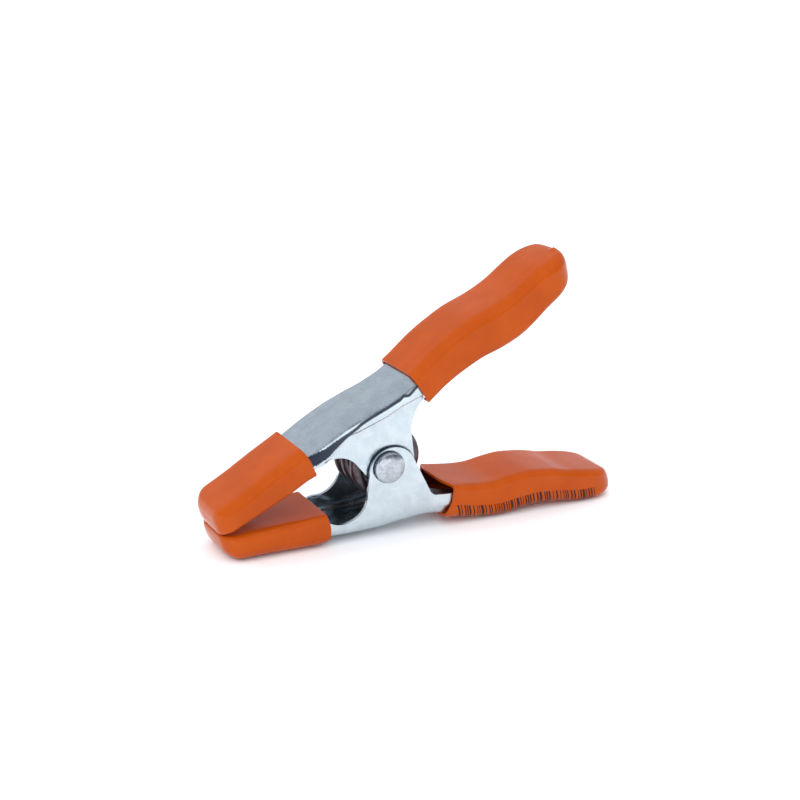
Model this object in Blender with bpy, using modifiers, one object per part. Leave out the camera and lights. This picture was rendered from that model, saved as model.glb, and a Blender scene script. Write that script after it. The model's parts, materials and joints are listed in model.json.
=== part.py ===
"""Spring clamp: two pressed steel levers on one rivet, a torsion spring and four vinyl covers.

Frame: +X runs from the jaws to the handles, +Y along the pivot axis, +Z up.  The origin is the
centre of the bounding box at its lowest face, where the closed clamp lies on a table.

Both levers are described in the clamp frame.  Its origin is on the pivot axis, A runs along the
clamp's middle line towards the handles, and B runs outwards from the middle line to the spine
of the lever in question.  All constants are in millimetres.
"""
import math

import bmesh
import bpy
from mathutils import Vector

MM = 0.001

# Placing of the closed clamp
REST_TILT = math.radians(15.35)      # tilt of the middle line when the lower lever lies on a table
PIVOT_X = -17.08
PIVOT_Z = 25.78

# Pressed steel levers
SHEET = 1.3
STEEL_WIDTH = 25.2                  # over the flanges
BEND = 2.6                          # outer bend radius between spine and flange
GAP = 0.3                           # clearance between neighbouring pieces
TIP_END = -62.8                     # front edge of the steel
HANDLE_END = 87.2                   # rear edge of the steel
TIP_CORNER = 5.0                    # corner radius in plan
HANDLE_CORNER = 9.5
TIP_STEPS = (0.0, 1.0, 2.5, 5.0, 8.8)       # sections near the ends, closer where they curve
HANDLE_STEPS = (10.0, 6.5, 4.0, 2.0, 0.7, 0.0)
# Spine's outer surface, (A, B)
SPINE = ((-66.0, 7.6), (-54.0, 9.75), (-41.0, 13.32), (-22.0, 19.6), (0.0, 25.0), (16.0, 28.4),
         (32.0, 33.8), (46.0, 37.8), (62.0, 41.2), (78.0, 46.8), (92.0, 49.0))
# Depth of the handle's flanges below the spine, (A, depth)
LOWER_FLANGE = ((10.0, 9.1), (20.0, 9.1), (34.0, 10.0), (52.0, 10.8), (75.0, 9.6), (92.0, 6.2))
UPPER_FLANGE = ((10.0, 11.0), (20.0, 10.7), (30.0, 10.3), (52.0, 10.8), (75.0, 9.6), (92.0, 6.2))

# Jaw pads: the inner face of each jaw cover is the plane through these (A, B) points
PAD_FRONT = (-66.0, 0.15)
PAD_REAR = (-28.0, 7.4)

# The levers' side outlines between these positions along A are made of arcs:
# (centre A, centre B, radius, from degrees, to degrees)
OUTLINE_START = -32.5
LOWER_OUTLINE_END = 22.0
UPPER_OUTLINE_END = 23.0
LOWER_NOTCH = (-20.5, 5.3, 9.1, 156.0, 24.3)
LOWER_EAR = (1.2, 2.2, 9.4, 204.3, 348.8)
LOWER_REAR = (17.4, 15.5, 4.0, 168.8, 104.0)
UPPER_NOTCH = (-20.0, 1.0, 9.8, 90.0, 25.0)
UPPER_EAR = (1.6, 1.0, 9.9, 205.0, 360.0)
UPPER_REAR = (27.2, 5.2, 15.0, 178.0, 122.0)
UPPER_SHOULDER_FOOT = -29.0         # the upper flange's edge rises from here
UPPER_SHOULDER = ((-26.5, 10.8), (-23.0, 10.8))
# The upper ears step inwards below this arched line, (A, B)
JOGGLE = 1.6
JOGGLE_RUN = 1.8                    # height of the step
JOGGLE_FADE = 4.0                   # length over which it fades out at both ends
JOGGLE_ARCH = ((-21.4, 11.4), (-18.0, 13.0), (-12.0, 16.2), (-4.0, 19.4), (4.0, 20.2),
               (12.0, 19.8), (21.3, 19.2))

# Rivet, spacer and torsion spring
PIVOT_HOLE = 7.2
RIVET_SHANK = 6.6
RIVET_HEAD = 11.4
RIVET_DOME = 2.5
RIVET_RIM = 0.7
SLEEVE_OUTER = 9.4
SLEEVE_HALF_LENGTH = 9.4
WIRE = 4.6
COIL_OUTER = 23.6
COIL_PITCH = 6.0
COIL_TURNS = 2                      # whole turns, besides the stretch between the legs
LEG_SLOPE = math.radians(31.0)
LEG_LENGTH = 38.0

# Vinyl covers
VINYL = 1.1
JAW_MOUTH = -29.5                   # end of the jaw covers, on the spine
GRIP_MOUTH = 16.8                   # start of the handle grips, on the spine
COVER_CORNER = 3.4                  # outer corner radius beside the spine
EDGE_CORNER = 2.8                   # outer corner radius beside the flanges' edges
MOUTH_CORNER = 1.5                  # the same at the mouth, where the cover fits tightly
EDGE_ROOM = 1.2                     # room between a flange's edge and the cover
# Depth of the handle grips' inner face below the spine, (A, depth)
LOWER_GRIP = ((10.0, 12.4), (20.0, 12.6), (34.0, 12.7), (52.0, 13.1), (75.0, 11.9), (92.0, 8.5))
UPPER_GRIP = ((10.0, 12.4), (20.0, 12.6), (34.0, 13.1), (52.0, 14.0), (66.0, 14.2), (78.0, 13.1),
              (92.0, 9.6))
JAW_FRONT = -66.6
GRIP_END = 90.8
JAW_NOSE = (4.6, 1.6)                # nose radii of the jaw covers, at the spine and at the pad
GRIP_NOSE = (4.6, 4.0)              # the same for the handle grips
MOUTH_SHEAR = 0.30                  # the mouths are square to the sloping spine
MOUTH_RUN = 12.0                    # length over which the mouth's form fades out

ORANGE = (0.62, 0.13, 0.025, 1.0)
ZINC = (0.62, 0.67, 0.70, 1.0)
DARK_STEEL = (0.03, 0.03, 0.035, 1.0)


# ---------------------------------------------------------------- profile functions

def spline(points):
    """Return a smooth function through the points, a cubic Hermite curve on an uneven grid."""
    def value(a):
        last = len(points) - 2
        i = min(max(sum(1 for p in points[1:] if a >= p[0]), 0), last)
        (a0, b0), (a1, b1) = points[i], points[i + 1]
        before = points[i - 1] if i > 0 else (2 * a0 - a1, 2 * b0 - b1)
        after = points[i + 2] if i < last else (2 * a1 - a0, 2 * b1 - b0)
        step = a1 - a0
        rise0 = step * (b1 - before[1]) / (a1 - before[0])
        rise1 = step * (after[1] - b0) / (after[0] - a0)
        t = (a - a0) / step
        return ((2 * t ** 3 - 3 * t ** 2 + 1) * b0 + (t ** 3 - 2 * t ** 2 + t) * rise0
                + (3 * t ** 2 - 2 * t ** 3) * b1 + (t ** 3 - t ** 2) * rise1)
    return value


spine_height = spline(SPINE)
joggle_line = spline(JOGGLE_ARCH)


def pad_height(a):
    """B of a jaw pad's plane."""
    slope = (PAD_REAR[1] - PAD_FRONT[1]) / (PAD_REAR[0] - PAD_FRONT[0])
    return PAD_FRONT[1] + slope * (a - PAD_FRONT[0])


def below_spine(depths):
    """Return a function for B at these (A, depth) pairs below the spine."""
    depth = spline(depths)
    return lambda a: spine_height(a) - depth(a)


def corner_inset(distance, radius):
    """How much a rounded corner narrows a part at this distance from its end."""
    d = min(max(distance, 0.0), radius)
    return radius - math.sqrt(radius ** 2 - (radius - d) ** 2)


def arc(outline, count):
    """Points along one of the outline arcs."""
    a, b, radius, start, stop = outline
    angles = [math.radians(start + (stop - start) * i / count) for i in range(count + 1)]
    return [(a + radius * math.cos(t), b + radius * math.sin(t)) for t in angles]


def spread(start, stop, count):
    """Evenly spaced numbers, both ends included."""
    return [start + (stop - start) * i / count for i in range(count + 1)]


# ---------------------------------------------------------------- scene helpers

def new_collection(name):
    collection = bpy.data.collections.new(name)
    bpy.context.scene.collection.children.link(collection)
    return collection


def new_material(name, colour, roughness, metallic):
    material = bpy.data.materials.new(name)
    material.use_nodes = True
    shader = material.node_tree.nodes["Principled BSDF"]
    shader.inputs["Base Color"].default_value = colour
    shader.inputs["Roughness"].default_value = roughness
    shader.inputs["Metallic"].default_value = metallic
    return material


def new_object(name, mesh, collection, parent, material=None):
    """Link a mesh as a named object under its joint's empty."""
    obj = bpy.data.objects.new(name, mesh)
    collection.objects.link(obj)
    obj.parent = parent
    if material:
        mesh.materials.append(material)
    return obj


def skin(name, rings, closed):
    """Mesh lofted through rings of points in millimetres.

    The rings are open rows, or closed loops, of which the last one is capped.
    """
    bm = bmesh.new()
    rows = [[bm.verts.new(Vector(p) * MM) for p in ring] for ring in rings]
    for row, following in zip(rows, rows[1:]):
        count = len(row)
        for j in range(count if closed else count - 1):
            k = (j + 1) % count
            bm.faces.new((row[j], row[k], following[k], following[j]))
    if closed:
        bm.faces.new(reversed(rows[-1]))
    bmesh.ops.recalc_face_normals(bm, faces=bm.faces)
    mesh = bpy.data.meshes.new(name)
    bm.to_mesh(mesh)
    bm.free()
    mesh.shade_smooth()
    mesh.set_sharp_from_angle(angle=math.radians(35.0))
    return mesh


def add_mirror(obj):
    mirror = obj.modifiers.new("Mirror", "MIRROR")
    mirror.use_axis = (False, True, False)
    mirror.use_clip = True
    mirror.merge_threshold = 0.00005


def add_solidify(obj, thickness):
    solidify = obj.modifiers.new("Sheet", "SOLIDIFY")
    solidify.thickness = thickness * MM
    solidify.offset = -1.0
    solidify.use_even_offset = True


# ---------------------------------------------------------------- levers

def tip_edge(a):
    """B of the flanges' edge inside the jaw cover."""
    return pad_height(a) + VINYL + EDGE_ROOM


def lever_stations(edge_points, handle_line):
    """Pairs of a spine position and the flange edge point that lies across from it."""
    first = edge_points[0][0]
    last = edge_points[-1][0]
    tip = [TIP_END + d for d in TIP_STEPS]
    tip += spread(tip[-1], first - 3.0, 3)[1:]
    stations = [(a, (a, tip_edge(a))) for a in tip]
    ear = spread(first, last, len(edge_points) - 1)
    stations += list(zip(ear, edge_points))
    handle = spread(last + 5.0, HANDLE_END - HANDLE_STEPS[0], 8)[:-1]
    handle += [HANDLE_END - d for d in HANDLE_STEPS]
    stations += [(a, (a, handle_line(a))) for a in handle]
    return stations


def half_width(a):
    """Half the steel's width, narrowed by the rounded corners at both ends."""
    inset = corner_inset(a - TIP_END, TIP_CORNER) + corner_inset(HANDLE_END - a, HANDLE_CORNER)
    return STEEL_WIDTH / 2 - inset


def joggle_depth(a):
    """Depth of the step, fading out towards the jaw and the handle."""
    inside = min(a - JOGGLE_ARCH[0][0], JOGGLE_ARCH[-1][0] - a)
    t = min(max(inside / JOGGLE_FADE, 0.0), 1.0)
    return JOGGLE * t * t * (3 - 2 * t)


def joggle_part(a, fold_b, low_a, low_b):
    """Where the row from the fold to the flange's edge crosses the arched line, from 0 to 1."""
    part = 0.5
    for _ in range(4):
        crossing = joggle_line(a + (low_a - a) * part)
        part = min(max((fold_b - crossing) / (fold_b - low_b), 0.12), 0.7)
    return part


def lever_half_ring(a, edge, side, joggled):
    """Open row of points from the middle of the spine over the bend to the flange's edge."""
    top = spine_height(a)
    half = half_width(a)
    bend = min(BEND, half - 0.5)
    ring = [(a, 0.0, top), (a, half - bend, top)]
    for t in spread(0.0, math.pi / 2, 3)[1:]:
        ring.append((a, half - bend + bend * math.sin(t), top - bend + bend * math.cos(t)))
    low_a, low_b = edge
    fold_b = top - bend
    if joggled:
        upper = joggle_part(a, fold_b, low_a, low_b)
        lower = min(upper + JOGGLE_RUN / (fold_b - low_b), 0.9)
        inset = joggle_depth(a + (low_a - a) * lower)
        levels = ((upper, 0.0), (lower, inset), (1.0, inset))
    else:
        levels = ((0.5, 0.0), (1.0, 0.0))
    for part, step in levels:
        ring.append((a + (low_a - a) * part, half - step, fold_b + (low_b - fold_b) * part))
    return [(p[0], p[1], side * p[2]) for p in ring]


def make_lever(name, side, edge_points, handle_line, collection, parent, material):
    """One pressed lever: a channel whose flanges grow into the two pivot ears."""
    joggled = side > 0
    stations = lever_stations(edge_points, handle_line)
    rings = [lever_half_ring(a, edge, side, joggled) for a, edge in stations]
    mesh = skin(name, rings, closed=False)
    face = max(mesh.polygons, key=lambda polygon: side * polygon.center.z)
    if face.normal.z * side < 0:
        mesh.flip_normals()
    obj = new_object(name, mesh, collection, parent, material)
    add_mirror(obj)
    add_solidify(obj, SHEET)
    return obj


def cut_pivot_hole(obj, cutters):
    """Drill both ears for the rivet."""
    bpy.ops.mesh.primitive_cylinder_add(vertices=24, radius=PIVOT_HOLE / 2 * MM,
                                        depth=2 * STEEL_WIDTH * MM,
                                        rotation=(math.pi / 2, 0.0, 0.0))
    cutter = bpy.context.object
    cutter.name = obj.name + "_pivot_hole"
    for collection in cutter.users_collection:
        collection.objects.unlink(cutter)
    cutters.objects.link(cutter)
    cutter.parent = obj.parent
    cutter.hide_render = True
    cutter.display_type = "WIRE"
    hole = obj.modifiers.new("Pivot hole", "BOOLEAN")
    hole.object = cutter
    hole.operation = "DIFFERENCE"
    hole.solver = "EXACT"


def make_lower_lever(parts, cutters, parent, material):
    handle_line = below_spine(LOWER_FLANGE)
    edge = [(OUTLINE_START, tip_edge(OUTLINE_START))]
    edge += arc(LOWER_NOTCH, 10) + arc(LOWER_EAR, 14) + arc(LOWER_REAR, 4)
    edge.append((LOWER_OUTLINE_END, handle_line(LOWER_OUTLINE_END)))
    obj = make_lever("lower_lever", -1, edge, handle_line, parts, parent, material)
    cut_pivot_hole(obj, cutters)


def make_upper_lever(parts, cutters, parent, material):
    handle_line = below_spine(UPPER_FLANGE)
    edge = [(a, tip_edge(a)) for a in (OUTLINE_START, UPPER_SHOULDER_FOOT)]
    edge += UPPER_SHOULDER
    edge += arc(UPPER_NOTCH, 8) + arc(UPPER_EAR, 14) + arc(UPPER_REAR, 6)
    edge.append((UPPER_OUTLINE_END, handle_line(UPPER_OUTLINE_END)))
    obj = make_lever("upper_lever", 1, edge, handle_line, parts, parent, material)
    cut_pivot_hole(obj, cutters)


# ---------------------------------------------------------------- vinyl covers

def cover_ring(a, top_line, bottom_line, half, shrinks, openness, side):
    """Rounded section of a cover.

    The two shrinks pull its top and bottom in at the closed end.  Openness is 1 at the mouth,
    where the section is sheared and its lower corners are tight, and 0 further in.
    """
    height = top_line(a) - bottom_line(a) - sum(shrinks)
    limit = min(height / 2 - 0.05, half - 0.1)
    upper = min(COVER_CORNER, limit)
    lower = min(EDGE_CORNER + (MOUTH_CORNER - EDGE_CORNER) * openness, limit)
    quarter = spread(0.0, math.pi / 2, 3)
    right = [(half - upper * (1 - math.sin(t)), upper * (1 - math.cos(t))) for t in quarter]
    right += [(half - lower * (1 - math.cos(t)), height - lower * (1 - math.sin(t)))
              for t in quarter]
    left = [(-y, depth) for y, depth in reversed(right)]
    ring = []
    for y, depth in right + left:
        moved = a + MOUTH_SHEAR * openness * depth
        part = depth / height
        top, bottom = top_line(moved) - shrinks[0], bottom_line(moved) + shrinks[1]
        b = top * (1 - part) + bottom * part
        ring.append((moved, y, side * b))
    return ring


def make_cover(name, side, mouth, end, top_line, bottom_line, plan_corner, nose, count,
               collection, parent, material):
    """Cap-shaped cover, open at its mouth and rounded at its closed end."""
    direction = 1 if end > mouth else -1
    full_half = STEEL_WIDTH / 2 + GAP + VINYL
    body_end = end - direction * plan_corner
    stations = spread(mouth, body_end, count)
    stations += [end - direction * plan_corner * (1 - math.sin(t))
                 for t in spread(0.0, math.pi / 2, 5)[1:]]
    rings = []
    for a in stations:
        distance = abs(end - a)
        half = full_half - corner_inset(distance, plan_corner)
        shrinks = [corner_inset(distance, radius) for radius in nose]
        openness = max(1.0 - abs(a - mouth) / MOUTH_RUN, 0.0)
        rings.append(cover_ring(a, top_line, bottom_line, half, shrinks, openness, side))
    mesh = skin(name, rings, closed=True)
    obj = new_object(name, mesh, collection, parent, material)
    add_solidify(obj, VINYL)
    return obj


def cover_top(a):
    """B of the outside of a cover over the spine."""
    return spine_height(a) + GAP + VINYL


def make_jaw_cover(name, side, collection, parent, material):
    make_cover(name, side, JAW_MOUTH, JAW_FRONT, cover_top, pad_height,
               TIP_CORNER + GAP + VINYL, JAW_NOSE, 8, collection, parent, material)


def make_handle_grip(name, side, depth, collection, parent, material):
    make_cover(name, side, GRIP_MOUTH, GRIP_END, cover_top, below_spine(depth),
               HANDLE_CORNER + GAP + VINYL, GRIP_NOSE, 14, collection, parent, material)


# ---------------------------------------------------------------- rivet, spacer, spring

def turned(name, profile, collection, parent, material):
    """Solid of revolution about the pivot axis, from (radius, position along the axis)."""
    mesh = bpy.data.meshes.new(name)
    count = len(profile)
    closed = profile[0][0] > 0
    edges = [(i, (i + 1) % count) for i in range(count if closed else count - 1)]
    mesh.from_pydata([(r * MM, 0.0, z * MM) for r, z in profile], edges, [])
    obj = new_object(name, mesh, collection, parent, material)
    obj.rotation_euler = (math.pi / 2, 0.0, 0.0)
    screw = obj.modifiers.new("Turn", "SCREW")
    screw.steps = 24
    screw.render_steps = 24
    screw.use_merge_vertices = True
    screw.merge_threshold = 0.00001
    screw.use_smooth_shade = True
    return obj


def make_rivet(collection, parent, material):
    """Shank with a domed head outside each of the lower lever's ears."""
    under = STEEL_WIDTH / 2 + GAP
    head = RIVET_HEAD / 2
    dome = [(head * math.sin(t), under + RIVET_RIM + (RIVET_DOME - RIVET_RIM) * math.cos(t))
            for t in spread(0.0, math.pi / 2, 6)]
    upper_half = dome + [(head, under), (RIVET_SHANK / 2, under)]
    lower_half = [(r, -z) for r, z in reversed(upper_half)]
    turned("pivot_rivet", upper_half + lower_half, collection, parent, material)


def make_sleeve(collection, parent, material):
    """Spacer tube that holds the upper lever's ears apart on the rivet."""
    inner, outer, end = PIVOT_HOLE / 2, SLEEVE_OUTER / 2, SLEEVE_HALF_LENGTH
    turned("spacer_sleeve", [(outer, end), (outer, -end), (inner, -end), (inner, end)],
           collection, parent, material)


def make_spring(collection, parent, material):
    """Torsion spring: a leg in the lower handle, the coil, and a leg in the upper handle."""
    radius = (COIL_OUTER - WIRE) / 2
    leave = math.pi / 2 + LEG_SLOPE
    sweep = 2 * math.pi * COIL_TURNS + (2 * math.pi - 2 * leave)
    length = COIL_PITCH * sweep / (2 * math.pi)
    count = 16 * COIL_TURNS + 5
    coil = []
    for part in spread(0.0, 1.0, count):
        angle = -leave - sweep * part
        coil.append((radius * math.cos(angle), length * (part - 0.5), radius * math.sin(angle)))
    legs = []
    for end, rise in ((coil[0], -1), (coil[-1], 1)):
        direction = Vector((math.cos(LEG_SLOPE), 0.0, rise * math.sin(LEG_SLOPE)))
        legs.append([Vector(end) + direction * d for d in spread(LEG_LENGTH, 0.0, 3)[:-1]])
    points = legs[0] + [Vector(p) for p in coil] + legs[1][::-1]
    curve = bpy.data.curves.new("torsion_spring", "CURVE")
    curve.dimensions = "3D"
    curve.bevel_depth = WIRE / 2 * MM
    curve.bevel_resolution = 2
    curve.use_fill_caps = True
    path = curve.splines.new("POLY")
    path.points.add(len(points) - 1)
    for target, p in zip(path.points, points):
        target.co = (p.x * MM, p.y * MM, p.z * MM, 1.0)
    new_object("torsion_spring", curve, collection, parent, material)


# ---------------------------------------------------------------- assembly

def clear_scene():
    for obj in list(bpy.data.objects):
        bpy.data.objects.remove(obj)


def joint_empty(name, collection):
    """Empty on the pivot axis, turned so that its X axis is the clamp's middle line."""
    empty = bpy.data.objects.new(name, None)
    empty.location = (PIVOT_X * MM, 0.0, PIVOT_Z * MM)
    empty.rotation_euler = (0.0, -REST_TILT, 0.0)
    collection.objects.link(empty)
    return empty


def main():
    clear_scene()
    parts = new_collection("spring_clamp")
    cutters = new_collection("cutters")
    lower = joint_empty("lower_body", parts)
    upper = joint_empty("upper_body", parts)

    def zinc(name):
        return new_material(name, ZINC, 0.32, 0.9)

    def vinyl(name):
        return new_material(name, ORANGE, 0.3, 0.0)

    make_lower_lever(parts, cutters, lower, zinc("lower_lever"))
    make_upper_lever(parts, cutters, upper, zinc("upper_lever"))
    make_rivet(parts, lower, zinc("pivot_rivet"))
    make_sleeve(parts, lower, new_material("spacer_sleeve", DARK_STEEL, 0.4, 0.9))
    make_spring(parts, lower, new_material("torsion_spring", DARK_STEEL, 0.35, 0.8))
    make_jaw_cover("lower_jaw_cover", -1, parts, lower, vinyl("lower_jaw_cover"))
    make_jaw_cover("upper_jaw_cover", 1, parts, upper, vinyl("upper_jaw_cover"))
    make_handle_grip("lower_handle_grip", -1, LOWER_GRIP, parts, lower,
                     vinyl("lower_handle_grip"))
    make_handle_grip("upper_handle_grip", 1, UPPER_GRIP, parts, upper,
                     vinyl("upper_handle_grip"))


main()
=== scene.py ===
"""Looks of the spring clamp: pressed zinc-plated levers, vinyl covers, rivet and torsion spring.

The pieces are built in the clamp frame, in millimetres.  Its origin is on the pivot axis, A runs
along the clamp's middle line towards the handles, and B runs outwards to the spine of the lever
in question: its side is +1 for the upper lever and -1 for the lower one.
"""
import json
import math
import random

import bmesh
import bpy
from mathutils import Matrix, Vector, noise


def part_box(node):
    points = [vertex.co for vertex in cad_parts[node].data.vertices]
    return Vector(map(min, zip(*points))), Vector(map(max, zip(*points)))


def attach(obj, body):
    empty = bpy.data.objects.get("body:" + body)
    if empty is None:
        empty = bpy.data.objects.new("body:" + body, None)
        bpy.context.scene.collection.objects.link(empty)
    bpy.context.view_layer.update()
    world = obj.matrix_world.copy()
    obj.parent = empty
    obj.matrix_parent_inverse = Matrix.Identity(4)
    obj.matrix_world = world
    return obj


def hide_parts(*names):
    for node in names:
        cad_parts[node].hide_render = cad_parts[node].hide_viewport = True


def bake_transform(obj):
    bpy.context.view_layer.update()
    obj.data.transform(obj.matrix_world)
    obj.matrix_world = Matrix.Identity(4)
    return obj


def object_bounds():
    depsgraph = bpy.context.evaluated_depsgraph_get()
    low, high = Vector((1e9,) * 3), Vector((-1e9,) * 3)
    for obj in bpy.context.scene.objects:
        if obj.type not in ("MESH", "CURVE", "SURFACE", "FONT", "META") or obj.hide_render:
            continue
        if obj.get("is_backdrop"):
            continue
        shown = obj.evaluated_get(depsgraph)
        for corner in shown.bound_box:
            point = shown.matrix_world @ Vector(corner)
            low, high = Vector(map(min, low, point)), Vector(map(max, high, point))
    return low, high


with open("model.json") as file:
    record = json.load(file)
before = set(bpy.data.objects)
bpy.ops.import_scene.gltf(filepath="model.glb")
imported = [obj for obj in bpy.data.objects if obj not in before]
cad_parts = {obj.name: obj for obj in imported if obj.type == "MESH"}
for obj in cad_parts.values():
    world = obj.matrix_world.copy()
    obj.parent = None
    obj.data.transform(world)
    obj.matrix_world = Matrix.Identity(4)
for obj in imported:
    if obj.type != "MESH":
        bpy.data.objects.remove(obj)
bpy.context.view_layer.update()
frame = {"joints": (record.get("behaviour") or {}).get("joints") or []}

MM = 0.001

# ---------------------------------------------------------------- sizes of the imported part

PIVOT = Vector(next(j for j in frame["joints"] if j["name"] == "jaw_pivot")["pos_m"])
REST_TILT = math.radians(15.35)
CLAMP = Matrix.Translation(PIVOT) @ Matrix.Rotation(-REST_TILT, 4, "Y")


def node_width(node):
    low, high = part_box(node)
    return (high.y - low.y) / MM


STEEL_WIDTH = node_width("upper_lever")
COVER_WIDTH = node_width("upper_jaw_cover")
RIVET_LENGTH = node_width("pivot_rivet")
SLEEVE_LENGTH = node_width("spacer_sleeve")

SHEET = 1.3
BEND = (4.4, 5.6)                   # soft elliptical bend: half axes across and down
BEND_ANGLE = math.radians(82.0)     # how far it turns before the flange starts
DRAFT = math.radians(8.0)           # the flange leans out a little below the bend
DRAFT_END = 7.0
SOFT_FROM, SOFT_TO = -36.0, 31.0    # the bend is soft between the covers' mouths
SOFT_RUN = 8.0                      # and tightens over this run, under the covers,
TIGHT_BEND = (0.65, 0.6)            # to these shares of its half axes
GAP = 0.3
TIP_END = -62.8
HANDLE_END = 87.2
TIP_CORNER = 5.0
HANDLE_CORNER = 9.5
UPPER_SPINE = ((-66.0, 7.9), (-54.0, 10.75), (-44.0, 13.75), (-35.0, 16.5), (-22.0, 20.5),
               (-12.0, 23.3), (-3.0, 24.7), (6.0, 25.7), (16.0, 28.0), (32.0, 34.4),
               (40.0, 37.0), (47.0, 38.7), (56.0, 39.8), (65.0, 42.0), (78.0, 46.9), (92.0, 49.0))
LOWER_SPINE = ((-66.0, 7.9), (-54.0, 10.6), (-41.0, 14.3), (-34.0, 16.4), (-22.0, 19.6),
               (-10.0, 22.7), (0.0, 24.3), (9.0, 25.8), (16.0, 28.1), (26.0, 31.9), (39.0, 36.7),
               (48.0, 38.1), (55.0, 39.3), (65.0, 42.8), (72.0, 45.9), (80.0, 48.1), (92.0, 49.8))
PLAIN_FLANGE = ((10.0, 9.1), (20.0, 9.1), (34.0, 10.0), (52.0, 10.8), (75.0, 9.6), (92.0, 6.2))
JOGGLED_FLANGE = ((10.0, 11.0), (20.0, 10.7), (30.0, 10.3), (52.0, 10.8), (75.0, 9.6),
                  (92.0, 6.2))
PAD_FRONT = (-66.0, 0.15)
PAD_REAR = (-28.0, 7.4)

# Arcs of the side outlines: centre A, centre B, radius, from and to in degrees
OUTLINE_START = -32.5
OUTLINE_END = 23.0
PLAIN_NOTCH_FRONT = (-20.5, 5.3, 9.1, 156.0, 90.0)
PLAIN_NOTCH_REAR = (-19.4, 5.3, 9.1, 90.0, 21.1)
PLAIN_EAR = (1.2, 2.7, 9.3, 201.1, 348.8)
PLAIN_REAR = (17.4, 15.5, 4.0, 168.8, 104.0)
JOGGLED_NOTCH = (-20.0, 1.0, 9.8, 90.0, 25.0)
JOGGLED_EAR = (1.6, 1.0, 9.9, 205.0, 360.0)
JOGGLED_REAR = (27.2, 5.2, 15.0, 178.0, 122.0)
SHOULDER_FOOT = -29.0
SHOULDER = ((-26.5, 10.8), (-23.0, 10.8))
JOGGLE = 1.6
JOGGLE_RUN = 1.3
JOGGLE_FADE = 4.0
JOGGLE_RANGE = (0.06, 0.75)         # parts of a row between which the step may start
JOGGLE_LAST = 0.94                  # and the last part at which it may end
PLAIN_PART = 0.3                    # a plain row's points are spaced as if stepped here
JOGGLE_ARCH = ((-24.0, 7.8), (-19.5, 13.0), (-16.8, 15.2), (-11.1, 17.8), (-3.6, 19.2),
               (6.9, 20.1), (16.6, 20.8), (24.0, 21.9))

PIVOT_HOLE = 7.2
RIVET_SHANK = 6.6
RIVET_HEAD = 11.9                   # a thick head with a low crown
RIVET_CROWN = 1.2
RIVET_ROUND = 0.55
RIVET_FOOT = 0.3
RIVET_DENTS = 0.05
RIVET_DENT_SIZE = 3.0
SLEEVE_OUTER = 9.4
WIRE = 4.6
COIL_OUTER = 28.0
COIL_SHIFT = 1.3                    # the loose coil sits a little back on its sleeve
COIL_CLOSED = math.radians(240.0)   # the outer turns lie flat for this much of a turn
COIL_PITCH = 6.0
COIL_TURNS = 2
COIL_EASE = 0.1                     # softness of the change from flat turns to pitch
LEG_SLOPE = math.radians(28.0)
LEG_LENGTH = 38.0
WIRE_CHAMFER = 0.4

VINYL = 1.1
JAW_MOUTH = -29.5
GRIP_MOUTH = 16.8
MOUTH_CORNER = 1.5
EDGE_CORNER = 2.8
EDGE_ROOM = 1.2
LOWER_GRIP = ((10.0, 12.4), (20.0, 12.6), (34.0, 12.7), (52.0, 13.1), (75.0, 11.9), (84.0, 9.9),
              (92.0, 6.8))
UPPER_GRIP = ((10.0, 12.4), (20.0, 12.6), (34.0, 13.1), (52.0, 14.0), (66.0, 14.2), (78.0, 13.1),
              (92.0, 9.6))
JAW_FRONT = -66.6
GRIP_END = 90.8
JAW_NOSE = (4.6, 1.6)
GRIP_NOSE = (4.8, 5.0)
LOWER_GRIP_NOSE = (3.6, 4.2)
MOUTH_SHEAR = 0.30
MOUTH_RUN = 12.0
MOUTH_ZONE = 7.0                    # the sharp edges this close to a mouth are rounded
PAD_LIFT = 1.0                      # the upper jaw cover's inner face rises towards its mouth
PAD_LIFT_FROM = -40.0
PAD_LIFT_RUN = 10.0
NUB = ((87.3, -4.2, 49.8), 1.6, 1.3)        # on the upper grip's end: place, radius, height

# Fine form that the collision model leaves out
ROW = 0.65                          # spacing of the levers' sections
COVER_ROW = 1.25 * ROW
CAP_SCALES = (0.85, 0.66, 0.45, 0.22)       # rings that close a cover's end
CAP_DOME = 0.3
COVER_CORNER = 4.2                  # softer vinyl corner beside the spine
SWELL = 0.4                         # the dipped vinyl is thickest over the spine
CROWN = 0.3                         # the vinyl swells a little over the flat spine
DIMPLE = 0.09                       # waviness of dipped vinyl
DIMPLE_SIZE = 11.0
SHEET_WAVE = 0.035                  # waviness of pressed sheet
SHEET_WAVE_SIZE = 14.0
SHEET_EDGE = 0.42                   # rounding of the sheared edges
LIP = 0.42                          # rounding of the covers' mouths
SHARP = math.radians(50.0)          # edges sharper than this are rounded
WIRE_SHARP = math.radians(40.0)
SEED_STEP = (17.3, 5.1, 9.7)        # distance between the fields of noise of two seeds
FINE_SHARE, FINE_SCALE = 0.4, 2.3   # the finer waves of that noise
BUMP_REACH = 1.6                    # a bump's extent and fall, in shares of its radius
BUMP_FALL = 2.2
CLIMB_WEIGHT = 0.45                 # weight of an outline's climb when it is divided


# ---------------------------------------------------------------- profile functions

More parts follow.
